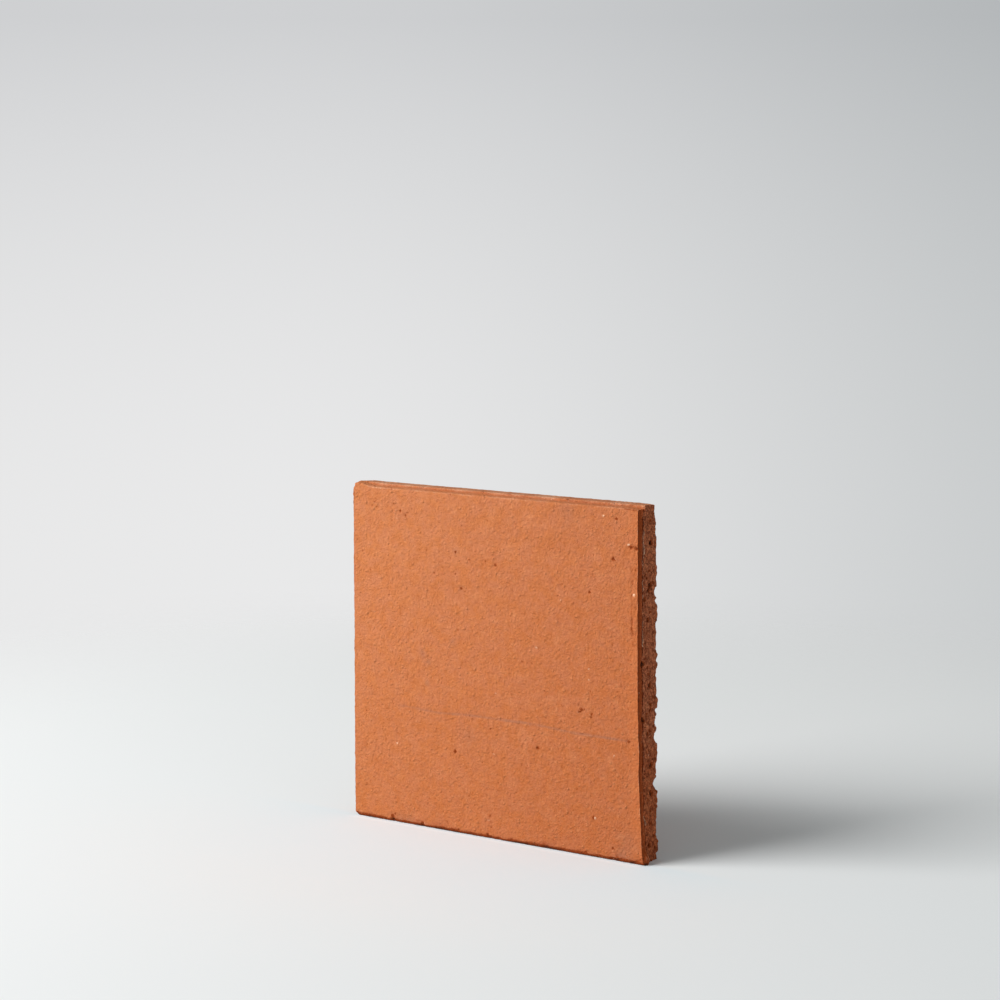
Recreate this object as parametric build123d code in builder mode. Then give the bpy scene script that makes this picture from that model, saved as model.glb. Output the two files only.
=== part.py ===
from build123d import *
import os

# A square clay tile standing on its lower edge. Millimetres, +X along the drawn length, +Y from the
# face to the ribbed back, +Z up the tile. The origin is under the middle of the tile, on the floor.

# Driving dimensions
LENGTH = 200.0
HEIGHT = 200.0
BODY_THICKNESS = 18.0

# The face layer stops short of the top edge and leaves a ledge
FACE_LAYER = 6.0
LEDGE_HEIGHT = 2.5
FACE_CORNER_RADIUS = 3.5
REAR_CORNER_RADIUS = 2.0
FOOT_RADIUS = 2.5
ARRIS_RADIUS = 0.6

# The cut dragged the lower right corner outwards
FLARE = 3.8
FLARE_HEIGHT = 150.0

# The keying ribs of the back run the whole length, and the first and the last are narrower
RIB_COUNT = 8
RIB_WIDTH = 12.0
END_RIB_WIDTH = 8.0
END_RIB_INSET = 8.0
RIB_HEIGHT = 2.0
RIB_DRAFT = 1.0

# Places that follow from the sizes
THICKNESS = BODY_THICKNESS + RIB_HEIGHT
FACE_Y = -THICKNESS / 2
STEP_Y = FACE_Y + FACE_LAYER
BACK_Y = FACE_Y + BODY_THICKNESS
CREST_Y = BACK_Y + RIB_HEIGHT
LEDGE_Z = HEIGHT - LEDGE_HEIGHT
LEFT_X = -(LENGTH + FLARE) / 2
RIGHT_X = LEFT_X + LENGTH
RIB_PITCH = (HEIGHT - 2 * END_RIB_INSET) / (RIB_COUNT - 1)


def rib_points():
    """The line of the back from top to bottom: a draft, a crest and a draft for each rib."""
    points = []
    for i in reversed(range(RIB_COUNT)):
        centre = END_RIB_INSET + i * RIB_PITCH
        width = END_RIB_WIDTH if i in (0, RIB_COUNT - 1) else RIB_WIDTH
        upper = centre + width / 2
        lower = centre - width / 2
        points.append((BACK_Y, upper + RIB_DRAFT))
        points.append((CREST_Y, upper))
        points.append((CREST_Y, lower))
        points.append((BACK_Y, lower - RIB_DRAFT))
    return points


# The outline of each layer, with the corners that the two cut ends leave
LAYERS = (
    (HEIGHT, REAR_CORNER_RADIUS, STEP_Y - CREST_Y),
    (LEDGE_Z, FACE_CORNER_RADIUS, FACE_LAYER),
)

with BuildPart() as outline:
    for top, corner_radius, depth in LAYERS:
        with BuildSketch(Plane.XZ.offset(-STEP_Y)):
            with BuildLine():
                flare = TangentArc((RIGHT_X, FLARE_HEIGHT), (RIGHT_X + FLARE, 0), tangent=(0, -1))
                Polyline(flare @ 1, (LEFT_X, 0), (LEFT_X, top), (RIGHT_X, top), flare @ 0)
            make_face()
            fillet(vertices().group_by(Axis.X)[0], radius=corner_radius)
        extrude(amount=depth)

# The section that the die gives the whole length, within that outline
with BuildPart() as tile:
    with BuildSketch(Plane.YZ.offset(LEFT_X)):
        with BuildLine():
            Polyline(
                (FACE_Y, 0),
                (FACE_Y, LEDGE_Z),
                (STEP_Y, LEDGE_Z),
                (STEP_Y, HEIGHT),
                (BACK_Y, HEIGHT),
                *rib_points(),
                (BACK_Y, 0),
                close=True,
            )
        make_face()
        fillet(vertices().group_by(Axis.X)[0].sort_by(Axis.Y)[0], radius=FOOT_RADIUS)
        fillet(vertices().group_by(Axis.X)[0].sort_by(Axis.Y)[-1], radius=ARRIS_RADIUS)
        fillet(vertices().group_by(Axis.Y)[-1], radius=ARRIS_RADIUS)
        fillet(vertices().group_by(Axis.Y)[0].sort_by(Axis.X)[-1], radius=ARRIS_RADIUS)
    extrude(amount=LENGTH + FLARE)
    add(outline.part, mode=Mode.INTERSECT)

tile.part.label = "tile"

os.makedirs("parts", exist_ok=True)
export_step(tile.part, "parts/tile.step")
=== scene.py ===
"""Dresses the packed clay tile, and sets the floor, the lights and the camera."""
import itertools
import math

import bpy
import numpy as np
from mathutils import Euler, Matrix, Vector


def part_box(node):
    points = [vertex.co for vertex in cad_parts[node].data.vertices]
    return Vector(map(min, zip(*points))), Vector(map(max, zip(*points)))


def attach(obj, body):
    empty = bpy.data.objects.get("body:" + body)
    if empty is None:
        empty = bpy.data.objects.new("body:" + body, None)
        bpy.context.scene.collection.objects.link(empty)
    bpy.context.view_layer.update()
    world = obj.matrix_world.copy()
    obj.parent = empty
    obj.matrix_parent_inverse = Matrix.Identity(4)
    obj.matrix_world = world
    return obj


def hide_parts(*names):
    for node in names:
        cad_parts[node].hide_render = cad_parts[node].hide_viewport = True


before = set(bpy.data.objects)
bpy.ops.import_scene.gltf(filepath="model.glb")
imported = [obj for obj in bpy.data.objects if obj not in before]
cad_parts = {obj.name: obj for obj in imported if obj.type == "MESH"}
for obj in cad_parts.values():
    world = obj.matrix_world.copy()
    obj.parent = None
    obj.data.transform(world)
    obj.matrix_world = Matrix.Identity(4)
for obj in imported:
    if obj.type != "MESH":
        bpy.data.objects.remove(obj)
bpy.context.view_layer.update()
low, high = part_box("tile")

MM = 0.001

# Section of the tile, as in the solid
FACE_Y = low.y
CREST_Y = high.y
HEIGHT = high.z
FACE_LAYER = 6.0 * MM
LEDGE_HEIGHT = 2.5 * MM
RIB_HEIGHT = 2.0 * MM
BACK_Y = CREST_Y - RIB_HEIGHT
STEP_Y = FACE_Y + FACE_LAYER
LEDGE_Z = HEIGHT - LEDGE_HEIGHT
FOOT_RADIUS = 2.5 * MM
ARRIS_RADIUS = 0.6 * MM
REAR_CORNER_RADIUS = 2.0 * MM
RIB_COUNT = 8
RIB_WIDTH = 12.0 * MM
END_RIB_WIDTH = 8.0 * MM
END_RIB_INSET = 8.0 * MM
RIB_PITCH = (HEIGHT - 2 * END_RIB_INSET) / (RIB_COUNT - 1)

# Worn edges, corners and rib flanks, which differ from the solid's
LIP_RADIUS = 0.9 * MM
UPPER_CORNER_RADIUS = 4.8 * MM
LOWER_CORNER_RADIUS = 3.0 * MM
RIB_DRAFT = 3.0 * MM

# Length of the tile, whose lower right corner flares outwards, but less towards the back
FLARE = 3.8 * MM
FLARE_HEIGHT = 150.0 * MM
FLARE_LENGTH = 45.0 * MM
FLARE_LOST_BEHIND = 0.6
LEFT_X = low.x
RIGHT_X = high.x - FLARE

# The edge of the face layer on the two cut ends, and how far forward it lies and wanders there, in mm
END_STEP = 0.25 * MM
BURR_WIDTH = 0.3 * MM
EDGE_FORWARD = 1.4
EDGE_WANDER = 0.7

# Steps of the mesh round the section and along the tile, and the most triangles it may have
LEDGE_STEPS = 6
RISER_STEPS = 3
TOP_STEPS = 12
ARC_STEPS = 2
DEPTH_STEPS = 1 + LEDGE_STEPS + RISER_STEPS + 2 + TOP_STEPS + 1
STEP_COLUMN = 1 + LEDGE_STEPS
RISE_STEPS = 260
LENGTH_STEPS = 216
MOST_TRIANGLES = 198000

# Camera, as it stood to the tile, and the frame of the photograph
CAMERA_PLACE = Vector((862.1, -1205.0, 376.0)) * MM
CAMERA_TURN = math.radians(35.65)
CAMERA_DIP = math.radians(6.94)
FRAME_WIDTH = 1000
FOCAL_PIXELS = 2623.0
SENSOR_WIDTH = 36.0


def make_camera():
    """The camera at the photograph's viewing angle."""
    data = bpy.data.cameras.new("camera")
    data.sensor_width = SENSOR_WIDTH
    data.lens = SENSOR_WIDTH * FOCAL_PIXELS / FRAME_WIDTH
    camera = bpy.data.objects.new("camera", data)
    camera.location = CAMERA_PLACE
    camera.rotation_euler = Euler((math.pi / 2 - CAMERA_DIP, 0, CAMERA_TURN))
    bpy.context.scene.collection.objects.link(camera)
    bpy.context.scene.camera = camera


def on_plane(pixel_x, pixel_y, axis, level):
    """Where the sight line through a pixel of the photograph meets the plane at a level of an axis."""
    middle = FRAME_WIDTH / 2
    line = Vector(((pixel_x - middle) / FOCAL_PIXELS, (middle - pixel_y) / FOCAL_PIXELS, -1))
    line.rotate(Euler((math.pi / 2 - CAMERA_DIP, 0, CAMERA_TURN)))
    return CAMERA_PLACE + line * ((level - CAMERA_PLACE[axis]) / line[axis])


def flare_reach(z):
    """How far the lower right corner is dragged outwards at a height."""
    radius = (FLARE_HEIGHT ** 2 + FLARE ** 2) / (2 * FLARE)
    below = np.clip(FLARE_HEIGHT - z, 0, FLARE_HEIGHT)
    return radius - np.sqrt(radius ** 2 - below ** 2)


def flare_share(x):
    """The share of that drag which reaches a place along the face."""
    return smooth(x, RIGHT_X - FLARE_LENGTH, RIGHT_X)


def on_face(pixel_x, pixel_y):
    """Place on the wearing face under a pixel before the flare: along the tile and up it."""
    point = on_plane(pixel_x, pixel_y, 1, FACE_Y)
    x = point.x
    for _ in range(4):
        x = point.x - flare_reach(point.z) * flare_share(x)
    return x, point.z


def on_end(pixel_x, pixel_y):
    """Place on the right end under a pixel: from face to back and up the tile."""
    point = on_plane(pixel_x, pixel_y, 0, RIGHT_X)
    return point.y, point.z


# Noise and blending


def smooth(value, start, end):
    """Rises smoothly from 0 at start to 1 at end."""
    t = np.clip((value - start) / (end - start), 0, 1)
    return t * t * (3 - 2 * t)


def lumps(points, size, seed):
    """Smooth noise between -1 and 1, with lumps of the given size, which may differ by axis."""
    table = np.random.default_rng(seed).uniform(-1, 1, 4096)
    place = points / np.asarray(size) + 100.0
    cell = np.floor(place).astype(np.int64)
    part = place - cell
    part = part * part * (3 - 2 * part)
    total = np.zeros(len(points))
    for corner in itertools.product((0, 1), repeat=3):
        step = np.array(corner)
        key = (cell + step) @ np.array((73856093, 19349663, 83492791))
        weight = np.prod(np.where(step, part, 1 - part), axis=1)
        total += weight * table[(key ^ (key >> 13)) % 4096]
    return total


def spot(u, v, centre, reach_u, reach_v=None, turn=0.0):
    """A soft spot: 1 at its centre, near 0 one and a half reaches away."""
    reach_v = reach_v or reach_u
    du, dv = u - centre[0], v - centre[1]
    along = du * math.cos(turn) + dv * math.sin(turn)
    across = dv * math.cos(turn) - du * math.sin(turn)
    return np.exp(-2 * ((along / reach_u) ** 2 + (across / reach_v) ** 2))


# Section and sheets


def arc(centre, radius, start, end, steps):
    """Points on an arc from one angle to another, in degrees, without the first."""
    angles = np.radians(np.linspace(start, end, steps + 1)[1:])
    return [(centre[0] + radius * math.cos(a), centre[1] + radius * math.sin(a)) for a in angles]


def run(start, end, steps):
    """Points on a straight run without the first."""
    return [tuple(p) for p in np.linspace(start, end, steps + 1)[1:]]


def section_sides():
    """The section's four sides as (y, z) points: front and back going up, foot and top going back."""
    foot = (FACE_Y + FOOT_RADIUS, FOOT_RADIUS)
    lip = (FACE_Y + LIP_RADIUS, LEDGE_Z - LIP_RADIUS)
    front_top = (STEP_Y + ARRIS_RADIUS, HEIGHT - ARRIS_RADIUS)
    back_top = (BACK_Y - ARRIS_RADIUS, HEIGHT - ARRIS_RADIUS)
    back_foot = (BACK_Y - ARRIS_RADIUS, ARRIS_RADIUS)

    front = [foot_corner(foot)]
    front += arc(foot, FOOT_RADIUS, 225, 180, ARC_STEPS)
    front += run((FACE_Y, FOOT_RADIUS), (FACE_Y, lip[1]), RISE_STEPS - ARC_STEPS - 1)
    front += arc(lip, LIP_RADIUS, 180, 135, 1)

    top = [front[-1]]
    top += arc(lip, LIP_RADIUS, 135, 90, 1)
    top += run(top[-1], (STEP_Y, LEDGE_Z), LEDGE_STEPS)
    top += run((STEP_Y, LEDGE_Z), (STEP_Y, front_top[1]), RISER_STEPS)
    top += arc(front_top, ARRIS_RADIUS, 180, 90, 2)
    top += run(top[-1], (back_top[0], HEIGHT), TOP_STEPS)
    top += arc(back_top, ARRIS_RADIUS, 90, 45, 1)

    bottom = [front[0]]
    bottom += arc(foot, FOOT_RADIUS, 225, 270, ARC_STEPS)
    bottom += run(bottom[-1], (STEP_Y, 0), STEP_COLUMN - ARC_STEPS)
    bottom += run((STEP_Y, 0), (STEP_Y + BURR_WIDTH, 0), 1)
    bottom += run(bottom[-1], (back_foot[0], 0), DEPTH_STEPS - STEP_COLUMN - 2)
    bottom += arc(back_foot, ARRIS_RADIUS, 270, 315, 1)

    rise = np.linspace(bottom[-1][1], top[-1][1], RISE_STEPS + 1)
    back = [(bottom[-1][0], z) for z in rise]
    return [np.array(side) for side in (front, back, bottom, top)]


def foot_corner(foot):
    """The middle of the rounded lower front edge."""
    return arc(foot, FOOT_RADIUS, 180, 225, 1)[0]


def stations():
    """Places along the tile where the section stands, closer together beside the two ends."""
    step = np.arange(LENGTH_STEPS)
    nearest_end = np.minimum(step, LENGTH_STEPS - 1 - step)
    spacing = 1 - 0.6 * np.exp(-nearest_end / 4)
    travel = np.concatenate(([0], np.cumsum(spacing)))
    return LEFT_X + (RIGHT_X - LEFT_X) * travel / travel[-1]


def end_patch(front, back, bottom, top):
    """A patch of points between the section's four sides, where front and back bend only their own edge."""
    u = np.linspace(0, 1, len(bottom))[:, None, None]
    v = np.linspace(0, 1, len(front))[None, :, None]
    patch = (1 - v) * bottom[:, None] + v * top[:, None]
    for side, weight in ((front, (1 - u) ** 5), (back, u ** 5)):
        patch += weight * (side[None] - (1 - v) * side[0] - v * side[-1])
    return patch


class Block:
    """A closed lattice of points over the six sides of the tile, with the tints that its material reads."""

    def __init__(self):
        shape = (LENGTH_STEPS + 1, DEPTH_STEPS + 1, RISE_STEPS + 1)
        shell = np.ones(shape, bool)
        shell[1:-1, 1:-1, 1:-1] = False
        self.node = np.full(shape, -1)
        self.node[shell] = np.arange(shell.sum())
        self.points = np.zeros((shell.sum(), 3))
        self.front = self.node[:, 0, :].ravel()
        self.back = self.node[:, -1, :].ravel()
        self.bottom = self.node[:, :, 0].ravel()
        self.top = self.node[:, :, -1].ravel()
        # Two of these tints carry painted shade and painted highlights as well as the clay's own marks
        self.tint = {name: np.zeros(len(self.points)) for name in ("dark_and_shade", "pale_and_highlight", "stain", "raw", "fresh")}

    def lay_sheets(self):
        """Puts the four long sheets on the section, at each station along the tile."""
        n = self.node
        for sheet, side in zip((n[:, 0, :], n[:, -1, :], n[:, :, 0], n[:, :, -1]), section_sides()):
            self.points[sheet, 0] = stations()[:, None]
            self.points[sheet, 1:] = side[None]

    def close_ends(self):
        """Fills the two ends between the sheets, with the edge of the face layer as an uneven line."""
        column = np.arange(DEPTH_STEPS + 1)[:, None]
        ahead = np.minimum(column / STEP_COLUMN, (DEPTH_STEPS - column) / (DEPTH_STEPS - STEP_COLUMN - 1))
        ahead = np.minimum(ahead, 1)
        for end in (self.node[0], self.node[-1]):
            p = self.points
            patch = end_patch(p[end[0]], p[end[-1]], p[end[:, 0]], p[end[:, -1]])
            edge = patch[STEP_COLUMN]
            from_rim = np.minimum(edge[:, 2], LEDGE_Z - edge[:, 2])
            forward = EDGE_FORWARD + EDGE_WANDER * lumps(edge, 7 * MM, 17)
            drift = forward * smooth(from_rim, 0, 6 * MM) * MM
            patch[:, :, 1] -= ahead * drift
            self.points[end[1:-1, 1:-1]] = patch[1:-1, 1:-1]

    def quads(self):
        """The faces of the six sides, each with its outside outwards."""
        n = self.node
        sheets = (
            (n[:, 0, :], True), (n[:, -1, :], False), (n[:, :, 0], False),
            (n[:, :, -1], True), (n[0], False), (n[-1], True),
        )
        for sheet, keep in sheets:
            rows = np.stack((sheet[:-1, :-1], sheet[1:, :-1], sheet[1:, 1:], sheet[:-1, 1:]), -1)
            rows = rows.reshape(-1, 4)
            yield rows if keep else rows[:, ::-1]


# Relief


def rib_profile(z, spread):
    """How far the back stands out at a height: 1 on a rib's crest and 0 between the ribs."""
    index = np.clip(np.round((z - END_RIB_INSET) / RIB_PITCH), 0, RIB_COUNT - 1)
    width = np.where((index == 0) | (index == RIB_COUNT - 1), END_RIB_WIDTH, RIB_WIDTH)
    from_centre = np.abs(z - END_RIB_INSET - index * RIB_PITCH)
    return smooth(width / 2 + spread + RIB_DRAFT - from_centre, 0, RIB_DRAFT)


# Where the ribs broke away beside the upper right corner: place, reach along the tile and up it
BROKEN_CORNER = (RIGHT_X, HEIGHT - 12 * MM)
BROKEN_REACH = 14 * MM
BROKEN_RISE = 42 * MM


def shape_back(block):
    """Raises the torn ribs of the back, roughens it, and paints shade on the rib flanks."""
    p = block.points[block.back]
    drift = 1.0 * MM * lumps(p, (30 * MM, 1, 9 * MM), 11) + 0.5 * MM * lumps(p, 3.5 * MM, 12)
    rib = rib_profile(p[:, 2] + drift, 2.5 * MM * lumps(p, (45 * MM, 1, 20 * MM), 10) - 1.5 * MM)
    crest = 0.84 + 0.12 * lumps(p, (20 * MM, 1, 5 * MM), 13) - 0.5 * smooth(lumps(p, 6 * MM, 14), 0.45, 0.8)
    crest *= 1 - 0.8 * spot(p[:, 0], p[:, 2], BROKEN_CORNER, BROKEN_REACH, BROKEN_RISE)
    grit = 0.24 * lumps(p, 1.5 * MM, 15) + 0.28 * lumps(p, 4.5 * MM, 16) + 0.15 + 0.6 * (1 - rib)
    inside = smooth(p[:, 2], 0.5 * MM, 2 * MM) * smooth(HEIGHT - p[:, 2], 0.5 * MM, 2 * MM)
    block.points[block.back, 1] += (BACK_Y - p[:, 1] + RIB_HEIGHT * rib * crest + grit * MM) * inside
    block.tint["raw"][block.back] = 0.35 + 0.28 * rib
    # Painted shade on the rib flanks
    block.tint["dark_and_shade"][block.back] += 0.9 * rib * (1 - rib) * inside


# The ledge is worn: it lies higher than in the solid and slopes to the front. The top slopes to the
# back, and its front rises at the left end. There the ledge fills up to the top, and at the right
# end it lies deeper.
LEDGE_RISE = 0.75 * MM
LEDGE_SLOPE = 0.6 * MM
BACK_DROP = 0.45 * MM
LEFT_TILT = 0.6 * MM
LEFT_TILT_LENGTH = 20 * MM
LEFT_FILL_LENGTH = 16 * MM
RIGHT_DEEPENING = 0.5 * MM
RIGHT_DEEPENING_LENGTH = 10 * MM

# How far down the face the ledge's rise is spread
LIP_BLEND = 25 * MM

# The torn stretch of the top edge, as a pixel, and how far it reaches
TORN_TOP = (605, 520)
TORN_TOP_REACH = 26 * MM


def ledge_rise(x, slope):
    """How far the ledge stands above the solid's at a place along the tile, for its slope there."""
    filled = 1 - smooth(x, LEFT_X, LEFT_X + LEFT_FILL_LENGTH)
    right = smooth(x, RIGHT_X - RIGHT_DEEPENING_LENGTH, RIGHT_X)
    open_rise = LEDGE_RISE + slope - RIGHT_DEEPENING * right
    return open_rise * (1 - filled) + (HEIGHT + LEFT_TILT - LEDGE_Z) * filled


def shape_top(block):
    """Slopes and fills the ledge, and roughens the top edge."""
    p = block.points[block.top]
    x, y, z = p.T
    depth = np.clip((y - FACE_Y) / (STEP_Y - FACE_Y), 0, 1)
    layer = np.clip((y - STEP_Y) / (BACK_Y - STEP_Y), 0, 1)
    right = smooth(x, RIGHT_X - RIGHT_DEEPENING_LENGTH, RIGHT_X)
    low_part = np.clip((HEIGHT - z) / (HEIGHT - LEDGE_Z), 0, 1)
    slope = (LEDGE_SLOPE + 0.25 * MM * lumps(p, (14 * MM, 1, 1), 18) - RIGHT_DEEPENING * right) * depth
    block.points[block.top, 2] += low_part * ledge_rise(x, slope)
    block.points[block.top, 2] -= BACK_DROP * (1 + 0.6 * right) * layer
    tilt = LEFT_TILT * (1 - smooth(x, LEFT_X, LEFT_X + LEFT_TILT_LENGTH))
    block.points[block.top, 2] += tilt * (1 - layer) * (1 - low_part)
    rough = 0.10 + 0.20 * spot(x, 0, (on_face(*TORN_TOP)[0], 0), TORN_TOP_REACH)
    crumbs = lumps(p, 2.2 * MM, 19) + 0.6 * lumps(p, 1.2 * MM, 20)
    block.points[block.top, 2] += rough * MM * crumbs * (0.3 + 0.7 * layer) * smooth(layer, -0.1, 0.1)
    tint_top(block, p, depth, layer, low_part)


def tint_top(block, p, depth, layer, low_part):
    """Paints shade into the ledge's inner corner, darkens and greys the top surface, and shows the worn and
    fresh clay of the top.
    """
    # Painted shade in the ledge's inner corner
    inner = np.exp(-((depth - 1) / 0.25) ** 2) * low_part * (0.35 + 0.5 * lumps(p, (11 * MM, 1, 1), 26))
    open_part = smooth(p[:, 0], LEFT_X + 0.5 * LEFT_FILL_LENGTH, LEFT_X + 1.5 * LEFT_FILL_LENGTH)
    block.tint["dark_and_shade"][block.top] += np.clip(inner, 0, 1) * 0.22 * open_part
    block.tint["stain"][block.top] += 0.4 * smooth(layer, 0.0, 0.15) * (1 - low_part)
    block.tint["fresh"][block.top] += 0.15 * smooth(low_part, 0.5, 0.95) * smooth(depth, 0.2, 0.8)
    worn = 0.28 + 0.12 * lumps(p, (6 * MM, 1, 1), 28)
    block.tint["pale_and_highlight"][block.top] += worn * (1 - 0.35 * low_part ** 4)


def raise_lip(block):
    """Lifts the top of the face as the ledge does."""
    inner = block.node[:, 0, :-1].ravel()
    p = block.points[inner]
    block.points[inner, 2] += ledge_rise(p[:, 0], 0) * smooth(p[:, 2], LEDGE_Z - LIP_BLEND, LEDGE_Z)


def face_relief(p):
    """The skin of the wearing face: a slight warp, dimples and the faint streaks of the die."""
    warp = 0.12 * lumps(p, 55 * MM, 21) + 0.05 * lumps(p, 14 * MM, 22)
    dimples = 0.10 * lumps(p, 4.8 * MM, 23) + 0.10 * lumps(p, 1.5 * MM, 24)
    bumps = 0.55 * np.clip(lumps(p, 1.35 * MM, 27) - 0.12, 0, 1)
    streaks = 0.02 * lumps(p, (40 * MM, 1, 2.2 * MM), 25)
    return (warp + dimples + bumps + streaks - 0.16) * MM


# Grains and pores of the face
GRAIN_HEIGHT = 0.45 * MM
PORE_DEPTH = 0.40 * MM

# Its small rough patches: pixel x, pixel y, reach in mm and number of grains
CLUSTERS = (
    (580, 709, 3.2, 16), (590, 716, 2.4, 10), (595, 818, 2.4, 10), (613, 559, 2.4, 8),
    (375, 505, 3.5, 12), (400, 512, 5.0, 16), (596, 498, 6.0, 14),
)


def add_grain(block, random, centre, raised, strength):
    """Sets one small raised grain or open pore on the wearing face; the pore is darkened with painted
    shade.
    """
    p = block.points[block.front]
    reach = random.uniform(0.6, 1.15) * MM
    turn = random.uniform(0, math.pi)
    mark = strength * spot(p[:, 0], p[:, 2], centre, reach, reach * random.uniform(0.6, 1), turn)
    if raised:
        block.points[block.front, 1] -= GRAIN_HEIGHT * np.minimum(mark, 0.9)
        block.tint["pale_and_highlight"][block.front] += 0.30 * mark
    else:
        block.points[block.front, 1] += PORE_DEPTH * mark
        # Painted shade in the open pore
        block.tint["dark_and_shade"][block.front] += 0.50 * mark


def add_grit(block, seed=31, scattered=850):
    """Scatters grains and pores over the wearing face, and heaps them in its rough patches."""
    random = np.random.default_rng(seed)
    for number in range(scattered):
        centre = random.uniform((LEFT_X, 0), (RIGHT_X, LEDGE_Z))
        add_grain(block, random, centre, number % 2 == 0, random.uniform(0.25, 1) ** 2)
    for pixel_x, pixel_y, reach, count in CLUSTERS:
        for number in range(count):
            centre = random.normal(on_face(pixel_x, pixel_y), reach * MM / 2)
            add_grain(block, random, centre, number % 2 == 0, random.uniform(0.6, 1.5))


# The scuffed strip along the right edge of the face, as the pixels of its upper and lower end
SCUFF = ((634.5, 546), (634.5, 645))


def add_scuff(block):
    """Roughens the strip that was scuffed along the right edge of the face, and paints highlights along the
    right arris and the lip.
    """
    p = block.points[block.front]
    (x, high_z), (_, low_z) = (on_face(*pixel) for pixel in SCUFF)
    strip = smooth(p[:, 0], x - 2.6 * MM, x - 1.6 * MM) * smooth(p[:, 2], low_z - 6 * MM, low_z)
    strip *= 1 - smooth(p[:, 2], high_z, high_z + 3 * MM)
    shreds = lumps(p, (1.1 * MM, 1, 3.5 * MM), 43)
    block.points[block.front, 1] += strip * (0.12 + 0.22 * shreds) * MM
    beside_edge = smooth(p[:, 0], RIGHT_X - 9 * MM, RIGHT_X - 4 * MM)
    block.tint["fresh"][block.front] += 0.3 * beside_edge
    # Painted highlights along the right arris and along the lip
    worn = smooth(p[:, 0], RIGHT_X - 1.6 * MM, RIGHT_X)
    block.tint["dark_and_shade"][block.front] += strip * (0.12 + 0.15 * shreds) * (1 - worn)
    worn *= 0.6 + 0.5 * lumps(p, (1, 1, 6 * MM), 44)
    lip = smooth(p[:, 2], LEDGE_Z - 1.4 * MM, LEDGE_Z) * (0.2 + 0.4 * lumps(p, (9 * MM, 1, 1), 45))
    block.tint["pale_and_highlight"][block.front] += np.clip(worn, 0, 1) * 0.35 + np.clip(lip, 0, 1) * 0.35


# How high the bared clay reaches along the foot of the face
FOOT_SKIN = 5.0 * MM


def tint_foot(block):
    """Bares the redder clay in patches along the foot of the face, and paints shade on the rounded edge it
    stands on.
    """
    p = block.points
    z = p[:, 2] + 1.2 * MM * lumps(p, (6 * MM, 1, 1), 46)
    patchy = 0.35 + 0.65 * smooth(lumps(p, (16 * MM, 1, 1), 47), -0.3, 0.3)
    in_front = 1 - smooth(p[:, 1], STEP_Y, BACK_Y)
    patchy = patchy * (0.9 + 0.5 * smooth(p[:, 0], 0.4 * RIGHT_X, RIGHT_X))
    skin = patchy * in_front * (1 - smooth(z, 0.35 * FOOT_SKIN, FOOT_SKIN))
    block.tint["raw"] += 0.25 * skin
    block.tint["stain"] += 0.45 * skin
    streaks = 0.20 + 0.25 * lumps(p, (5 * MM, 1, 1.2 * MM), 48)
    # Painted shade on the underside of the rounded foot
    edge = p[:, 2] + 0.7 * MM * lumps(p, (4 * MM, 1, 1), 49)
    foot_edge_shade = 0.6 * in_front * (1 - smooth(edge, 1.0 * MM, 2.6 * MM))
    block.tint["dark_and_shade"] += np.clip(streaks, 0, 1) * skin + foot_edge_shade


# Marks of the face as they stand in the photograph: pixel x, pixel y, half width in mm, strength
PITS = (
    (455, 552, 0.8, 1.0), (461, 588.5, 0.9, 0.9), (469, 560, 0.9, 0.5), (485, 561, 0.8, 0.5),
    (495, 565, 1.0, 0.7), (455, 574, 0.9, 0.5), (389.5, 568, 0.7, 0.5), (410, 569, 0.7, 0.5),
    (613, 559, 1.1, 0.8), (616, 520, 0.8, 1.1), (457.5, 630, 0.8, 0.6), (423, 654, 0.8, 0.4),
    (522, 661, 0.8, 0.6), (617, 692, 0.8, 0.5), (472, 719, 0.8, 0.6), (490, 729, 0.8, 0.6),
    (537.5, 748, 1.1, 0.8), (562, 767, 0.8, 0.5), (393, 779, 0.8, 0.5), (403, 804, 0.8, 0.5),
    (628.6, 741.8, 0.9, 0.9), (630.5, 548, 0.9, 0.9), (580, 709, 1.0, 0.3), (455, 751.5, 1.2, 0.9),
    (489.5, 816, 0.7, 0.8), (490.5, 822.5, 0.6, 0.5), (491, 827, 0.7, 0.7), (487.5, 834, 0.8, 0.8),
    (392.3, 815.5, 1.3, 0.7), (395, 813.5, 0.8, 0.6), (393, 818.5, 1.2, 0.6), (585.5, 852.3, 0.8, 0.8),
    (612.5, 848, 0.7, 0.8), (616.7, 859.5, 0.7, 0.8), (422.5, 822.5, 0.8, 0.8), (458.5, 829, 0.8, 0.6),
    (589.3, 592.3, 0.9, 1.0), (594.7, 518.3, 0.7, 0.4), (637, 548.7, 0.9, 1.0), (593, 817, 0.8, 0.8),
)
SPECKS = (
    (603, 517, 0.7, 1.0), (628.6, 545, 0.8, 1.0), (634, 595, 0.9, 1.0), (561, 600, 0.7, 0.6),
    (589, 669, 0.7, 0.7), (589, 680, 0.7, 0.7), (496, 693, 0.7, 0.6), (397, 743, 0.8, 0.8),
    (493.5, 754, 0.7, 0.6), (614, 756, 0.7, 0.6), (595, 818, 0.9, 0.7), (536, 647.5, 1.2, 0.5),
    (488.3, 820.5, 0.7, 0.6), (489.2, 836.5, 0.8, 0.9), (613, 851, 0.7, 0.4), (425, 823.5, 0.7, 0.6),
)
STAINS = (
    (455, 552, 2.2, 0.5), (461, 588.5, 2.2, 0.5), (423, 654, 2.6, 0.8), (428, 662, 2.4, 0.8),
    (427, 683, 2.0, 0.6), (452, 642, 3.0, 0.5), (568, 514, 7.0, 0.45), (470, 737, 5.0, 0.5),
    (401, 818, 4.0, 0.6), (410, 820, 4.0, 0.6), (622, 856, 5.0, 0.6), (630, 842, 8.0, 0.4),
)


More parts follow.
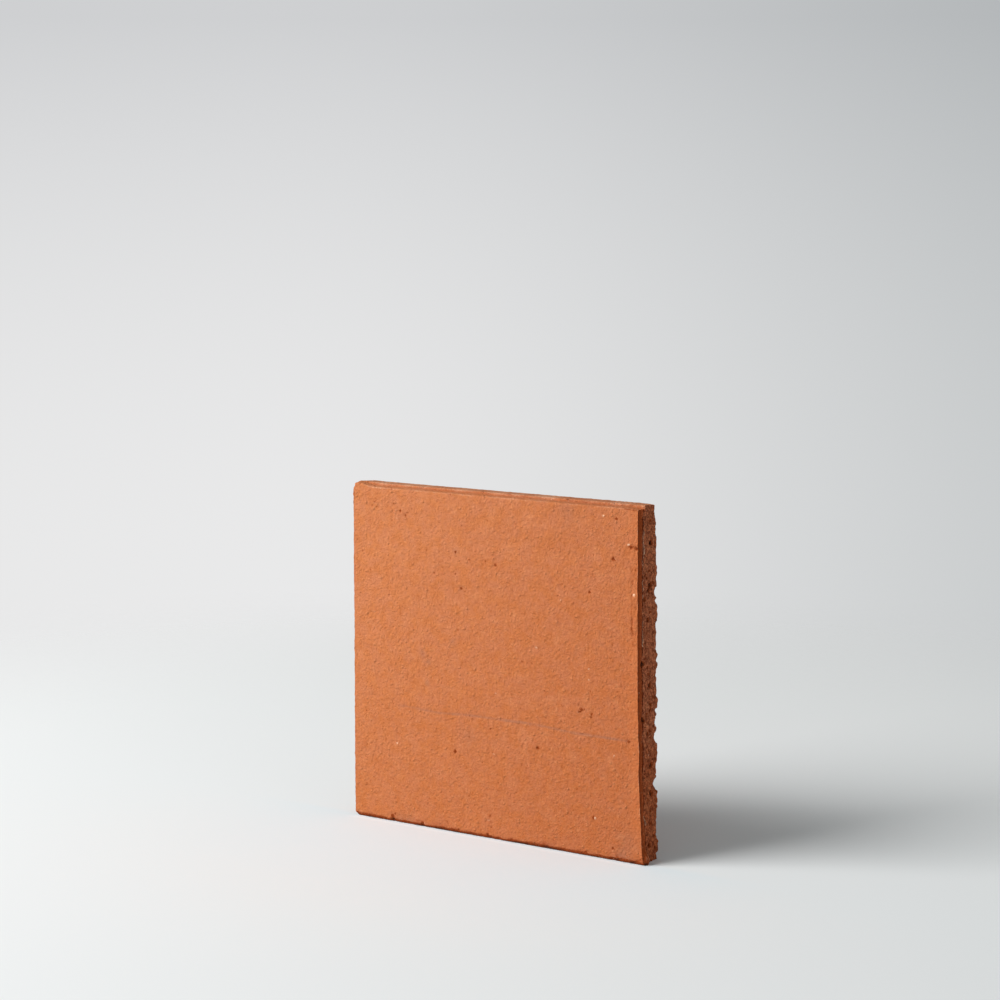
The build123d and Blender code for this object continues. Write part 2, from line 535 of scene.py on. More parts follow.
def add_marks(block):
    """Sets the pits, pale specks and stains of the photograph on the wearing face."""
    p = block.points[block.front]
    # The pits are sunk and darkened: their darkness is partly iron in the clay and partly painted shade in
    # the hollow
    for marks, name, rise in ((PITS, "dark_and_shade", -0.45), (SPECKS, "pale_and_highlight", 0.25), (STAINS, "stain", 0)):
        for pixel_x, pixel_y, reach, strength in marks:
            mark = strength * spot(p[:, 0], p[:, 2], on_face(pixel_x, pixel_y), 1.2 * reach * MM)
            block.points[block.front, 1] -= rise * MM * mark
            block.tint[name][block.front] += 1.1 * mark


# Lines of the face, as pixels from end to end: the drag line of the die, the scuff's edge, the cracks
DRAG_LINE = ((400, 705), (439, 713), (466, 715), (532, 724), (574, 733), (627, 741))
SCUFF_EDGE = ((630.5, 562), (631.5, 585), (631, 612), (632.5, 645))
CRACKS = (
    ((629, 546), (637.5, 549)), ((613.5, 849), (617.5, 857)),
    ((630, 863), (635, 861.5), (640, 860)), ((624, 510), (629, 510.5), (638, 511.5)),
    ((514, 842.5), (527, 844)), ((543, 846.5), (562, 850)),
)

# The grooves along those lines: width and depth in mm, tint, its strength and the seed
# The darker tint of the cracks and of the scuff's edge is painted shade in the groove
GROOVES = (
    (DRAG_LINE, 0.85, 0.14, "stain", 1.4, 41),
    (SCUFF_EDGE, 0.75, 0.20, "dark_and_shade", 0.25, 40),
    *((crack, 0.80, 0.35, "dark_and_shade", 0.5, 42) for crack in CRACKS),
)


def add_groove(block, pixels, width, depth, name, tint, seed):
    """Cuts an uneven groove along a line of pixels of the face, and tints it."""
    p = block.points[block.front]
    places = np.array([on_face(*pixel) for pixel in pixels])
    nearest = np.full(len(p), np.inf)
    for start, end in zip(places[:-1], places[1:]):
        leg = end - start
        share = np.clip(((p[:, (0, 2)] - start) @ leg) / (leg @ leg), 0, 1)
        away = np.hypot(*(p[:, (0, 2)] - start - share[:, None] * leg).T)
        nearest = np.minimum(nearest, away)
    uneven = 0.75 + 0.25 * lumps(p, 9 * MM, seed)
    groove = np.exp(-2 * (nearest / width) ** 2) * uneven
    block.points[block.front, 1] += depth * groove
    block.tint[name][block.front] += tint * groove


def add_grooves(block):
    """Cuts the drag line, the scuff's edge and the cracks into the face."""
    for pixels, width, depth, name, tint, seed in GROOVES:
        add_groove(block, pixels, width * MM, depth * MM, name, tint, seed)


# Waves of the right edge of the face: row of the photograph, half height and how far out, in mm
EDGE_BENDS = ((512, 30, -0.3), (754, 9, 0.4), (777, 8, -0.4), (834, 14, 0.4))
EDGE_PIXEL_X = 638
BEND_LENGTH = 6 * MM


def flare(block):
    """Drags the lower right corner outwards, more at the foot and the face, and waves the right edge."""
    depth = np.clip((block.points[:, 1] - FACE_Y) / (BACK_Y - FACE_Y), 0, 1)
    share = flare_share(block.points[:, 0]) * (1 - FLARE_LOST_BEHIND * depth)
    block.points[:, 0] += flare_reach(block.points[:, 2]) * share
    for pixel_y, reach, out in EDGE_BENDS:
        _, z = on_end(EDGE_PIXEL_X, pixel_y)
        bend = spot(block.points[:, 2], 0, (z, 0), reach * MM)
        near_end = smooth(block.points[:, 0], RIGHT_X - BEND_LENGTH, RIGHT_X)
        block.points[:, 0] += out * MM * bend * near_end * (1 - depth)


# The creased lump that the cut pushed out at the foot of the right end
LUMP_PLACE = (RIGHT_X + FLARE, FACE_Y + 3.3 * MM, 3.0 * MM)
LUMP_SQUEEZE = (0.7, 1.3, 0.7)
LUMP_REACH = 4.6 * MM
LUMP_OUT = 3.8 * MM
LUMP_CREASE = 0.9 * MM


def add_lump(block):
    """Pushes out the creased lump at the foot of the right end, with painted shade in its creases and a
    painted highlight on the rest.
    """
    p = block.points
    away = np.linalg.norm((p - LUMP_PLACE) * LUMP_SQUEEZE, axis=1)
    lump = np.exp(-2 * (away / LUMP_REACH) ** 2)
    crease = np.clip(1.5 * lumps(p, (1, 0.9 * MM, 5 * MM), 61), 0, 1)
    block.points[:, 0] += (LUMP_OUT - LUMP_CREASE * crease) * lump
    # Painted shade in the creases, and a painted highlight on the rest of the lump
    block.tint["dark_and_shade"] *= 1 - 0.8 * lump
    block.tint["dark_and_shade"] += 0.7 * crease * lump
    block.tint["pale_and_highlight"] += 0.50 * (1 - crease) * lump


def round_corner(points, centre_x, centre_z, upwards):
    """Bends the square left corner beyond a centre onto an arc."""
    a = centre_x - points[:, 0]
    b = (points[:, 2] - centre_z) * upwards
    inside = (a > 0) & (b > 0)
    a, b = a[inside], b[inside]
    scale = np.maximum(a, b) / np.hypot(a, b)
    points[inside, 0] = centre_x - a * scale
    points[inside, 2] = centre_z + upwards * b * scale
    return points


def round_left_corners(block):
    """Rounds the left corners of the face layer and, less, of the layer behind it, with a smooth change."""
    rounded = []
    for high_radius, low_radius in ((UPPER_CORNER_RADIUS, LOWER_CORNER_RADIUS), (REAR_CORNER_RADIUS,) * 2):
        p = block.points.copy()
        p = round_corner(p, LEFT_X + high_radius, HEIGHT - high_radius, 1)
        rounded.append(round_corner(p, LEFT_X + low_radius, low_radius, -1))
    share = smooth(block.points[:, 1], STEP_Y - 5 * MM, STEP_Y + MM)[:, None]
    block.points = rounded[0] * (1 - share) + rounded[1] * share


# Holes in the right end in the photograph: pixel x, pixel y, half depth and half height in mm
END_HOLES = (
    (651.5, 543, 1.4, 1.6), (645.5, 549, 1.0, 1.0), (651, 585, 1.6, 1.3), (649.5, 590, 1.0, 1.2),
    (645.5, 600, 1.1, 1.3), (643, 664.5, 1.2, 1.5), (650, 685, 1.2, 1.6), (643, 720, 1.1, 1.8),
    (647.5, 734, 1.0, 1.2), (650.5, 765, 1.2, 1.5), (650, 793, 1.4, 2.2), (648.6, 812, 0.8, 1.4),
    (653.4, 847, 1.2, 1.6), (646, 845, 0.9, 1.1), (649, 620, 0.9, 1.2), (651, 705, 0.9, 1.0),
)
HOLE_SPREAD = 1.25
HOLE_STRETCH = 1.1
HOLE_DEPTH = 2.6

# Burrs along the edge of the face layer, painted bright as a highlight, as rows of the photograph: first,
# last and height in mm
BURR_PIXEL_X = 642.7
BURRS = (
    (517, 575, 0.3), (544, 553, 0.3), (580, 592, 0.5), (595, 598, 0.4), (622, 646, 0.35), (816, 824, 0.4),
)


def burr_height(z, seed):
    """How far the burr behind the face layer stands out at a height, in mm."""
    height = 0.18 * smooth(lumps(np.stack((z, z, z), -1), 5 * MM, seed), -0.2, 0.4)
    for first, last, rise in BURRS:
        _, high_z = on_end(BURR_PIXEL_X, first)
        _, low_z = on_end(BURR_PIXEL_X, last)
        height += rise * smooth(z, low_z - MM, low_z) * (1 - smooth(z, high_z, high_z + MM))
    return height


def end_relief(p, column, seed):
    """How far a torn end stands out: smooth over the face layer, with a step and a burr behind it."""
    behind = column > STEP_COLUMN
    coarse = 0.20 * lumps(p, 10 * MM, seed) + 0.30 * lumps(p, (1, 2.4 * MM, 3.2 * MM), seed + 1)
    fine = 0.55 * lumps(p, (1, 1.2 * MM, 2.0 * MM), seed + 2)
    ragged = -1.8 * np.clip(lumps(p, (1, 2.0 * MM, 2.8 * MM), seed + 3) - 0.32, 0, 1)
    burr = burr_height(p[:, 2], seed + 4) * np.exp(-((column - STEP_COLUMN - 1) / 1.2) ** 2)
    relief = np.where(behind, coarse + fine + ragged + burr - 0.25, 0.3 * coarse + 0.15 * fine - 0.45)
    return relief * MM - END_STEP * (1 - behind)


def hole_places(random, scattered):
    """The holes of one end: those of the photograph, and smaller ones at random."""
    places = [
        (on_end(x, y), HOLE_SPREAD * reach * MM, HOLE_STRETCH * rise * MM, HOLE_DEPTH)
        for x, y, reach, rise in END_HOLES
    ]
    for _ in range(scattered):
        centre = random.uniform((STEP_Y + 1.5 * MM, 3 * MM), (BACK_Y - 1 * MM, HEIGHT - 3 * MM))
        reach, rise, deep = random.uniform((0.5, 0.6, 0.5), (1.0, 1.5, 1.4))
        places.append((centre, reach * MM, rise * MM, deep))
    return places


def open_holes(block, end, p, outwards, random, scattered):
    """Sinks the holes into one end, and paints shade into them."""
    rim = np.minimum.reduce((p[:, 1] - FACE_Y, BACK_Y - p[:, 1], p[:, 2], HEIGHT - p[:, 2]))
    inside = smooth(rim, 0.2 * MM, 1.4 * MM)
    for centre, reach, rise, deep in hole_places(random, scattered):
        hole = spot(p[:, 1], p[:, 2], centre, reach, rise, random.uniform(-0.6, 0.6))
        block.points[end, 0] -= outwards * deep * MM * hole * inside
        # Painted shade inside the holes
        block.tint["dark_and_shade"][end] += 1.05 * deep * hole * inside


def tint_end(block, end, p, column, seed, burr_seed):
    """Shows the torn clay of one end and the darker end of the face layer, with painted shade along the
    face's edge and painted highlights on the burrs.
    """
    behind = column > STEP_COLUMN
    block.tint["raw"][end] = np.maximum(block.tint["raw"][end], np.where(behind, 1.0, 0.55))
    # Painted shade along the edge of the face layer, next to the face
    first = (column == 1) * (0.45 + 0.2 * lumps(p, (1, 1, 5 * MM), seed + 9))
    deep = np.where(column < STEP_COLUMN - 2, 0.58, 0.34)
    band = (column > 0) * ~behind * (deep + 0.10 * lumps(p, (1, 2 * MM, 4 * MM), seed + 8))
    block.tint["dark_and_shade"][end] += first + band
    # Painted highlight on the burrs
    burr = smooth(burr_height(p[:, 2], burr_seed), 0.15, 0.45)
    beside = 0.7 * (column == STEP_COLUMN + 1) + 0.4 * (column == STEP_COLUMN)
    block.tint["pale_and_highlight"][end] += burr * beside


# How many stations at each end its tearing moves, the end itself among them, and where it fades
TEAR_STATIONS = 12
TEAR_FADE = 1.2 * MM


def tear_ends(block, seed=51, holes=60):
    """Roughens the two cut ends and opens the holes that the wire left in them."""
    random = np.random.default_rng(seed)
    ramp = np.exp(-(stations() - stations()[0]) / TEAR_FADE)
    column = np.repeat(np.arange(DEPTH_STEPS + 1), RISE_STEPS + 1)
    for end, outwards, order in ((block.node[-1], 1, -1), (block.node[0], -1, 1)):
        flat = end.ravel()
        p = block.points[flat].copy()
        push = end_relief(p, column, seed - outwards).reshape(end.shape)
        ring = np.ones(end.shape, bool)
        ring[1:-1, 1:-1] = False
        for station in range(1, TEAR_STATIONS):
            nodes = block.node[order * station - (1 if order < 0 else 0)]
            block.points[nodes[ring], 0] += outwards * push[ring] * ramp[station]
        block.points[flat, 0] += outwards * push.ravel()
        open_holes(block, flat, p, outwards, random, holes)
        tint_end(block, flat, p, column, seed, seed - outwards + 4)


# Chips of the rear arris of the right end: row of the photograph, reach and depth in mm
REAR_PIXEL_X = 655
REAR_CHIPS = (
    (506, 8, 1.7), (530, 4, 0.8), (550, 9, 0.3), (592, 3, 0.8), (721, 3, 0.8),
    (737, 3.5, 1.6), (784, 4, 2.2), (826, 5, 0.7), (849, 3, 1.0), (861, 5, 2.2),
)

# Chips of the lower front edge: pixel x, pixel y, reach and depth in mm
FOOT_CHIPS = ((393, 818, 2.2, 0.9), (422, 823.5, 2.0, 0.8), (489, 836, 2.0, 0.9), (616, 858, 2.4, 0.9))


def chip(block, centre, outwards, reach, depth, seed):
    """Breaks a shallow shell out of an edge, facing outwards."""
    away = block.points - np.array(centre)
    facing = np.array(Vector(outwards).normalized())
    near = np.linalg.norm(away, axis=1) < 1.5 * reach
    p = block.points[near]
    distance = np.linalg.norm(away[near], axis=1) / reach
    beyond = away[near] @ facing + depth * (1 - distance ** 2) + 0.15 * MM * lumps(p, 1.2 * MM, seed)
    cut = np.where(distance < 1, np.clip(beyond, 0, None), 0)
    block.points[near] = p - cut[:, None] * facing
    block.tint["raw"][near] = np.maximum(block.tint["raw"][near], smooth(cut, 0.05 * MM, 0.25 * MM))


def add_chips(block, seed=71, scattered=60):
    """Chips the edges where the photograph shows it, and scatters small chips along the others."""
    random = np.random.default_rng(seed)
    for pixel_x, pixel_y, reach, depth in FOOT_CHIPS:
        x, _ = on_face(pixel_x, pixel_y)
        centre = (x, FACE_Y + 0.7 * MM, 0.7 * MM)
        chip(block, centre, (0, -1, -0.6), reach * MM, depth * MM, seed)
    for pixel_y, reach, depth in REAR_CHIPS:
        _, z = on_end(REAR_PIXEL_X, pixel_y)
        near = np.abs(block.points[:, 2] - z) < 3 * MM
        centre = (block.points[near, 0].max() - 0.5 * MM, BACK_Y, z)
        chip(block, centre, (1, 1, 0), reach * MM, depth * MM, seed)
    beside_fill = LEFT_X + LEFT_FILL_LENGTH
    edges = (
        ((LEFT_X, FACE_Y, 0.6 * MM), (0, -1, -1)),
        ((beside_fill, STEP_Y, HEIGHT), (0, -1, 1)),
        ((LEFT_X, BACK_Y, HEIGHT), (0, 1, 1)),
        ((beside_fill, FACE_Y, LEDGE_Z + LEDGE_RISE), (0, -1, 1)),
    )
    for number in range(scattered):
        (start, y, z), facing = edges[number % len(edges)]
        reach, depth = random.uniform((0.8, 0.15), (2.2, 0.5)) * MM
        centre = (random.uniform(start, RIGHT_X), y, z)
        chip(block, centre, facing, reach, depth, seed + number)


def make_tile():
    """The dressed tile as one closed mesh in place of the plain solid."""
    block = Block()
    block.lay_sheets()
    shape_back(block)
    face = block.points[block.front]
    block.points[block.front, 1] -= face_relief(face)
    add_grit(block)
    add_marks(block)
    add_scuff(block)
    add_grooves(block)
    shape_top(block)
    raise_lip(block)
    block.close_ends()
    tint_foot(block)
    tear_ends(block)
    round_left_corners(block)
    flare(block)
    add_lump(block)
    add_chips(block)
    block.points[:, 2] = np.maximum(block.points[:, 2], 0)

    mesh = bpy.data.meshes.new("fired_clay_tile")
    faces = np.concatenate(list(block.quads()))
    mesh.from_pydata(block.points.tolist(), [], faces.tolist())
    for name, values in block.tint.items():
        mesh.attributes.new(name, "FLOAT", "POINT").data.foreach_set("value", np.clip(values, 0, 1))
    tile = bpy.data.objects.new("fired_clay_tile", mesh)
    bpy.context.scene.collection.objects.link(tile)
    thin_out(tile, block, 2 * len(faces))
    tile.data.shade_smooth()
    tile.data.set_sharp_from_angle(angle=math.radians(50))
    return tile


def thin_out(tile, block, triangles):
    """Merges the smaller faces of the back and the foot until the mesh is small enough."""
    group = tile.vertex_groups.new(name="hidden")
    hidden = np.concatenate((block.node[1:-1, -1, 1:-1].ravel(), block.node[1:-1, 1:-1, 0].ravel()))
    group.add(hidden.tolist(), 1.0, "REPLACE")
    thin = tile.modifiers.new("thin", "DECIMATE")
    thin.ratio = MOST_TRIANGLES / triangles
    thin.vertex_group = group.name
    shown = tile.evaluated_get(bpy.context.evaluated_depsgraph_get())
    mesh = bpy.data.meshes.new_from_object(shown)
    tile.modifiers.clear()
    tile.vertex_groups.clear()
    tile.data = mesh


# Finish


class Nodes:
    """Short calls for building a node tree."""

    def __init__(self, tree):
        self.tree = tree
        tree.nodes.clear()

    def add(self, kind, inputs=(), **settings):
        """Adds a node, sets its settings and fills its inputs with values or with other nodes' outputs."""
        node = self.tree.nodes.new("ShaderNode" + kind)
        for name, value in settings.items():
            setattr(node, name, value)
        for name, value in dict(inputs).items():
            if isinstance(value, bpy.types.NodeSocket):
                self.tree.links.new(value, node.inputs[name])
            else:
                node.inputs[name].default_value = value
        return node

    def noise(self, place, size, detail=2.0, roughness=0.5, offset=0.0):
        """Noise from 0 to 1 with lumps of the given size."""
        inputs = {"Vector": place, "Scale": 1 / size, "Detail": detail, "Roughness": roughness, "W": offset}
        return self.add("TexNoise", inputs, noise_dimensions="4D").outputs["Fac"]

    def maths(self, operation, a, b=0.5):
        """One arithmetic step on two values."""
        return self.add("Math", {0: a, 1: b}, operation=operation).outputs[0]

    def ramp(self, value, start, end, low=0.0, high=1.0):
        """Maps a value smoothly from one range to another."""
        inputs = {"Value": value, "From Min": start, "From Max": end, "To Min": low, "To Max": high}
        return self.add("MapRange", inputs, interpolation_type="SMOOTHSTEP").outputs[0]

    def share(self, value, start, end):
        """How far a value lies between two levels, from 0 to 1."""
        return self.add("MapRange", {"Value": value, "From Min": start, "From Max": end}).outputs[0]

    def mix(self, share, a, b, blend="MIX"):
        """Mixes two colours."""
        node = self.add("Mix", {"Factor": share}, data_type="RGBA", blend_type=blend)
        for name, value in (("A", a), ("B", b)):
            socket = [s for s in node.inputs if s.name == name and s.type == "RGBA"][0]
            if isinstance(value, bpy.types.NodeSocket):
                self.tree.links.new(value, socket)
            else:
                socket.default_value = value
        return [s for s in node.outputs if s.type == "RGBA"][0]

    def attribute(self, name):
        """A tint carried by the mesh."""
        return self.add("Attribute", attribute_name=name).outputs["Fac"]


# Colours of the clay, and shares that tint them. The clay is darker and redder towards the bottom; the
# right share is painted shade, darker towards the right end as the key lamp's light falls off there
CLAY_UPPER = (0.549, 0.190, 0.076, 1)
CLAY_LOWER = (0.533, 0.169, 0.061, 1)
RIGHT_FALLOFF_SHADE = (0.870, 0.795, 0.775, 1)
PINK_SHARE = (1.000, 1.035, 1.170, 1)
ORANGE_SHARE = (1.000, 0.965, 0.850, 1)
CLAY_LIGHT = (0.680, 0.265, 0.115, 1)
CLAY_DEEP = (0.420, 0.110, 0.034, 1)
BARE_CLAY = (0.470, 0.105, 0.032, 1)
FRESH_CLAY = (0.600, 0.170, 0.052, 1)
TORN_LIGHT = (0.545, 0.168, 0.076, 1)
TORN_DARK = (0.195, 0.046, 0.019, 1)
TORN_LOW_SHARE = (0.930, 0.800, 0.660, 1)
# Rust and the near-black also serve as painted shade, and lime as painted highlights
RUST_AND_SHADE = (0.262, 0.050, 0.011, 1)
LIME_AND_HIGHLIGHT = (0.900, 0.580, 0.390, 1)
BLACK_SPECK_AND_SHADE = (0.045, 0.014, 0.008, 1)
ASH = (0.280, 0.140, 0.100, 1)

# The torn clay turns redder from the higher of these levels down to the lower
TORN_LOW = 45 * MM
TORN_HIGH = 75 * MM


def fired_clay():
    """Matt unglazed clay: mottled, with ash stains, iron and lime specks, and a fine grain."""
    material = bpy.data.materials.new("fired_clay")
    material.use_nodes = True
    n = Nodes(material.node_tree)
    place = n.add("TexCoord").outputs["Object"]
    patch = n.noise(place, 7 * MM, 4, 0.6, 2)
    hue = n.noise(place, 9 * MM, 5, 0.75, 8)
    grain = n.noise(place, 1.5 * MM, 3, 0.6, 4)
    dust = n.noise(place, 0.6 * MM, 2, 0.6, 6)
    stretched = n.add("VectorMath", {0: place, 1: (1, 1, 0.65)}, operation="MULTIPLY").outputs[0]
    crumb = n.noise(stretched, 1.4 * MM, 4, 0.7, 10)
    raw = n.attribute("raw")

    axes = n.add("SeparateXYZ", {0: place})
    height = axes.outputs["Z"]
    rise = n.share(height, 0.0, HEIGHT)
    along = n.share(axes.outputs["X"], LEFT_X, RIGHT_X)
    colour = n.mix(rise, CLAY_LOWER, CLAY_UPPER)
    # Painted shade: the clay darkens towards the right end, as the key lamp's light falls off there
    colour = n.mix(along, colour, n.mix(1.0, colour, RIGHT_FALLOFF_SHADE, "MULTIPLY"))
    colour = n.mix(1.0, colour, n.mix(n.ramp(hue, 0.35, 0.65), ORANGE_SHARE, PINK_SHARE), "MULTIPLY")
    colour = n.mix(n.ramp(raw, 0, 0.5), colour, BARE_CLAY)
    colour = n.mix(n.attribute("fresh"), colour, FRESH_CLAY)
    torn = n.mix(n.ramp(crumb, 0.37, 0.63), TORN_DARK, TORN_LIGHT)
    torn = n.mix(n.ramp(height, TORN_HIGH, TORN_LOW), torn, n.mix(1.0, torn, TORN_LOW_SHARE, "MULTIPLY"))
    colour = n.mix(n.ramp(raw, 0.5, 0.9), colour, torn)
    colour = n.mix(n.ramp(patch, 0.5, 0.8, 0, 0.3), colour, CLAY_LIGHT)
    colour = n.mix(n.ramp(patch, 0.5, 0.2, 0, 0.3), colour, CLAY_DEEP)
    colour = n.mix(n.ramp(grain, 0.52, 0.75, 0, 0.35), colour, CLAY_LIGHT)
    colour = n.mix(n.ramp(grain, 0.48, 0.25, 0, 0.30), colour, RUST_AND_SHADE)

    stain = n.maths("MULTIPLY", n.attribute("stain"), n.ramp(patch, 0.25, 0.75, 0.4, 1))
    colour = n.mix(n.maths("MULTIPLY", stain, 0.6), colour, ASH)
    edge = n.maths("MULTIPLY", n.maths("SUBTRACT", dust, 0.5), 0.7)
    # Lime specks and grains, and painted highlights on the arrises, burrs and lump, lighten the colour here
    pale_and_highlight = n.ramp(n.maths("ADD", n.attribute("pale_and_highlight"), edge), 0.15, 0.80)
    colour = n.mix(pale_and_highlight, colour, LIME_AND_HIGHLIGHT)
    # Pits, pores and iron, and painted shade in holes, cracks, corners, creases, rib flanks and under the
    # foot, darken the colour here
    dark_and_shade = n.maths("ADD", n.attribute("dark_and_shade"), edge)
    colour = n.mix(n.ramp(dark_and_shade, 0.08, 0.50), colour, RUST_AND_SHADE)
    colour = n.mix(n.ramp(dark_and_shade, 0.60, 1.10), colour, BLACK_SPECK_AND_SHADE)

    cells = n.add("TexVoronoi", {"Vector": place, "Scale": 1 / (4.0 * MM)})
    speck = n.ramp(cells.outputs["Distance"], 0.16, 0.06)
    chosen = n.add("SeparateColor", {"Color": cells.outputs["Color"]})
    iron = n.maths("MULTIPLY", speck, n.ramp(chosen.outputs[0], 0.55, 1.0))
    lime = n.maths("MULTIPLY", speck, n.ramp(chosen.outputs[1], 0.86, 1.0))
    colour = n.mix(n.maths("MULTIPLY", iron, 0.6), colour, RUST_AND_SHADE)
    colour = n.mix(n.maths("MULTIPLY", lime, 0.5), colour, LIME_AND_HIGHLIGHT)

    grit = n.add("TexVoronoi", {"Vector": place, "Scale": 1 / (2.6 * MM)})
    chosen = n.add("SeparateColor", {"Color": grit.outputs["Color"]}).outputs[0]
    domes = n.maths("MULTIPLY", n.ramp(grit.outputs["Distance"], 0.45, 0.0), n.ramp(chosen, 0.3, 1.0))
    colour = n.mix(n.maths("MULTIPLY", domes, 0.3), colour, CLAY_LIGHT)

    peel = n.noise(place, 1.3 * MM, 1, 0.5, 12)
    rough = n.maths("MULTIPLY", peel, n.ramp(raw, 0.5, 1, 0.9, 2.6))
    rough = n.maths("ADD", rough, n.maths("MULTIPLY", domes, 0.50))
    rough = n.maths("ADD", rough, n.maths("MULTIPLY", dust, 0.15))
    bump = n.add("Bump", {"Height": rough, "Strength": 1.0, "Distance": 1.0 * MM})
    surface = n.add("BsdfPrincipled", {
        "Base Color": colour, "Roughness": 0.9, "Specular IOR Level": 0.05, "Normal": bump.outputs[0],
    })
    n.add("OutputMaterial", {"Surface": surface.outputs[0]})
    return material


# Floor, backdrop and light

# The floor, which fades into the backdrop with the distance from the tile. It is painted lighter away from
# the camera, in place of light from the back
FLOOR_REACH = 6.0
FLOOR_NEAR = (0.822, 0.832, 0.831, 1)
FLOOR_FAR = (0.947, 0.944, 0.934, 1)
FLOOR_SPAN = (-0.27, 0.90)
FADE_START = 0.40
FADE_END = 0.95

# Painted light on it: a cooler patch before the face, which cancels the tile's warm bounce light, and a
# lighter strip along the foot, which lifts the contact shadow there: front, back and sides
BOUNCE_CANCEL_SHARE = (0.925, 1.000, 1.040, 1)
BOUNCE_CANCEL_PATCH = ((-0.17, -0.02), (0.0, -0.01), (0.20, 0.05))
# Painted light: the strip along the foot is lighter, lifting the contact shadow there
CONTACT_SHADOW_LIFT_SHARE = (1.080, 1.080, 1.080, 1)
CONTACT_SHADOW_LIFT_PATCH = ((-0.017, -0.011), (-0.003, -0.006), (0.104, 0.098))

# Lamps, fill and backdrop
KEY_TURN = math.radians(37.7)
KEY_RISE = math.radians(37.2)
KEY_DISTANCE = 2.776
KEY_SIZE = (1.761, 1.979)
KEY_POWER = 90.0
CARD_PLACE = Vector((1.98, -0.52, 0.20))
CARD_SIZE = (1.2, 0.3)
CARD_POWER = 4.5
FILL_COLOUR = (0.262, 0.280, 0.283, 1)
BACKDROP_LOW = (0.815, 0.815, 0.818, 1)
BACKDROP_HIGH_SHARE = (0.765, 0.774, 0.786, 1)
BACKDROP_RIGHT_SHARE = (0.675, 0.700, 0.705, 1)
BACKDROP_RISE = (-0.16, 0.06)
BACKDROP_SPAN = (-0.10, 0.30)

# Level directions ahead of the camera and to its right
AHEAD = Vector((-math.sin(CAMERA_TURN), math.cos(CAMERA_TURN), 0))
RIGHTWARDS = Vector((math.cos(CAMERA_TURN), math.sin(CAMERA_TURN), 0))


def soft_patch(n, axes, front, back, sides):
    """A soft patch of the floor: how it starts and ends along Y, and ends at both sides."""
    patch = n.maths("MULTIPLY", n.ramp(axes.outputs["Y"], *front), n.ramp(axes.outputs["Y"], *back))
    return n.maths("MULTIPLY", patch, n.ramp(n.maths("ABSOLUTE", axes.outputs["X"]), *sides))


def make_floor():
    """A whitish floor that fades into the backdrop away from the tile. It is painted lighter away from the
    camera in place of light from the back, a shade cooler before the face to cancel the tile's warm bounce
    light, and lighter along the foot to lift the contact shadow there.
    """
    mesh = bpy.data.meshes.new("floor")
    corners = [(x * FLOOR_REACH, y * FLOOR_REACH, 0) for x, y in ((-1, -1), (1, -1), (1, 1), (-1, 1))]
    mesh.from_pydata(corners, [], [(0, 1, 2, 3)])
    floor = bpy.data.objects.new("floor", mesh)
    bpy.context.scene.collection.objects.link(floor)
    material = bpy.data.materials.new("floor")
    material.use_nodes = True
    n = Nodes(material.node_tree)
    place = n.add("TexCoord").outputs["Object"]
    ahead = n.add("VectorMath", {0: place, 1: AHEAD}, operation="DOT_PRODUCT").outputs["Value"]
    share = n.share(ahead, *FLOOR_SPAN)
    away = n.add("VectorMath", {0: place}, operation="LENGTH").outputs["Value"]
    axes = n.add("SeparateXYZ", {0: place})
    # Painted light: the floor grows lighter away from the camera
    colour = n.mix(share, FLOOR_NEAR, FLOOR_FAR)
    # Painted light on the floor: a cooler patch that cancels the tile's warm bounce light, and a lighter
    # strip that lifts the contact shadow along the foot
    for patch, tint in ((BOUNCE_CANCEL_PATCH, BOUNCE_CANCEL_SHARE), (CONTACT_SHADOW_LIFT_PATCH, CONTACT_SHADOW_LIFT_SHARE)):
        colour = n.mix(soft_patch(n, axes, *patch), colour, n.mix(1.0, colour, tint, "MULTIPLY"))
    clear = n.add("BsdfTransparent")
    matt = n.add("BsdfDiffuse", {"Color": colour})
    seen = n.add("LightPath").outputs["Is Camera Ray"]
    fade = n.maths("MULTIPLY", n.ramp(away, FADE_START, FADE_END), seen)
    surface = n.add("MixShader", {0: fade, 1: matt.outputs[0], 2: clear.outputs[0]})
    n.add("OutputMaterial", {"Surface": surface.outputs[0]})
    mesh.materials.append(material)


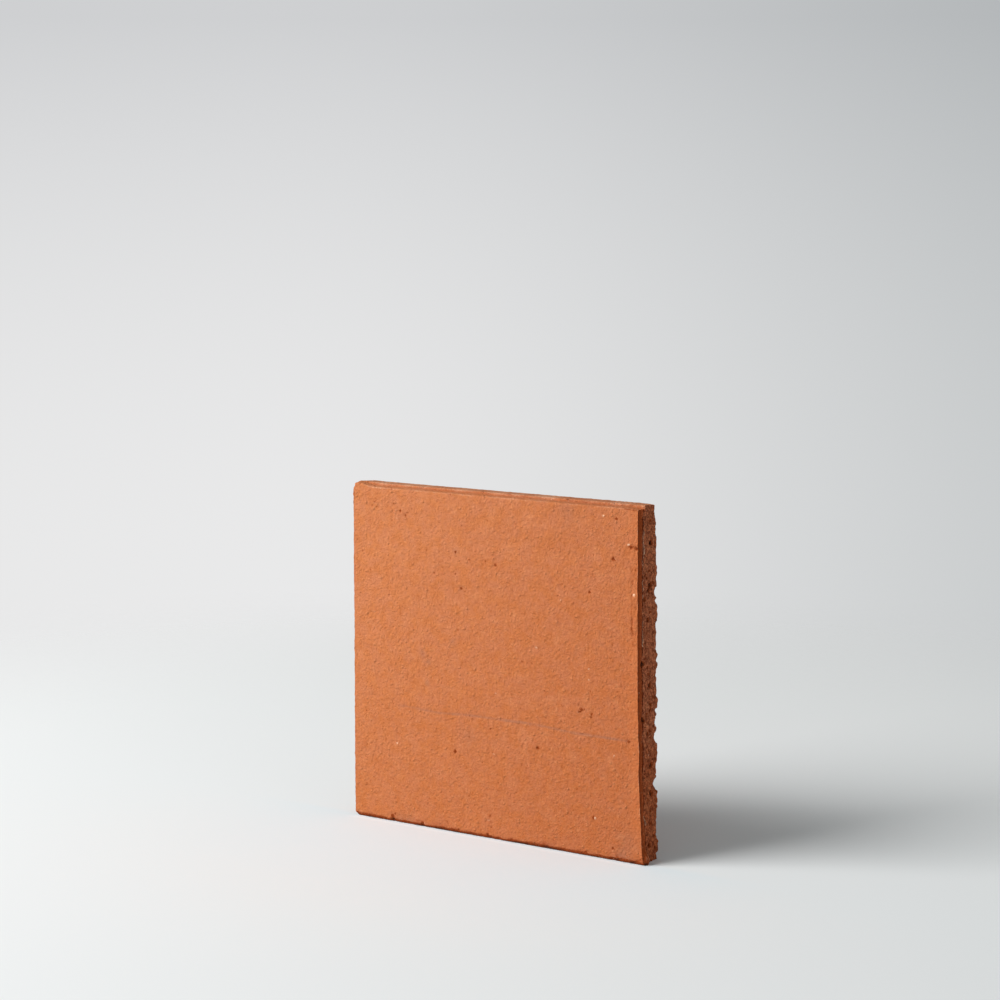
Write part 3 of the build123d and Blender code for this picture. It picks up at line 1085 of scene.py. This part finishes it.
def add_lamp(name, place, size, power):
    """A rectangular lamp that faces the origin."""
    data = bpy.data.lights.new(name, "AREA")
    data.shape = "RECTANGLE"
    data.size, data.size_y = size
    data.energy = power
    lamp = bpy.data.objects.new(name, data)
    lamp.location = place
    lamp.rotation_euler = (-place).to_track_quat("-Z", "Y").to_euler()
    bpy.context.scene.collection.objects.link(lamp)


def make_light():
    """A soft key lamp before the tile on its left, a low card on its right, a fill and the backdrop."""
    level = math.cos(KEY_RISE)
    side = Vector((-math.sin(KEY_TURN) * level, -math.cos(KEY_TURN) * level, math.sin(KEY_RISE)))
    add_lamp("key", side * KEY_DISTANCE, KEY_SIZE, KEY_POWER)
    add_lamp("card", CARD_PLACE, CARD_SIZE, CARD_POWER)

    world = bpy.data.worlds.new("backdrop")
    world.use_nodes = True
    bpy.context.scene.world = world
    n = Nodes(world.node_tree)
    way = n.add("TexCoord").outputs["Generated"]
    upwards = n.add("SeparateXYZ", {0: way}).outputs["Z"]
    sideways = n.add("VectorMath", {0: way, 1: RIGHTWARDS}, operation="DOT_PRODUCT").outputs["Value"]
    rise = n.share(upwards, *BACKDROP_RISE)
    white = (1, 1, 1, 1)
    backdrop = n.mix(n.maths("POWER", rise, 2.0), white, BACKDROP_HIGH_SHARE)
    backdrop = n.mix(n.ramp(sideways, *BACKDROP_SPAN), backdrop, BACKDROP_RIGHT_SHARE, "MULTIPLY")
    backdrop = n.mix(1.0, backdrop, BACKDROP_LOW, "MULTIPLY")
    shown = n.add("Background", {"Color": backdrop, "Strength": 1.0})
    fill = n.add("Background", {"Color": FILL_COLOUR, "Strength": 1.0})
    seen = n.add("LightPath").outputs["Is Camera Ray"]
    surface = n.add("MixShader", {0: seen, 1: fill.outputs[0], 2: shown.outputs[0]})
    n.add("OutputWorld", {"Surface": surface.outputs[0]})


tile = make_tile()
tile.data.materials.clear()
tile.data.materials.append(fired_clay())
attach(tile, "root")
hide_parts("tile")

make_camera()
make_floor()
make_light()
bpy.context.scene.view_settings.view_transform = "Standard"
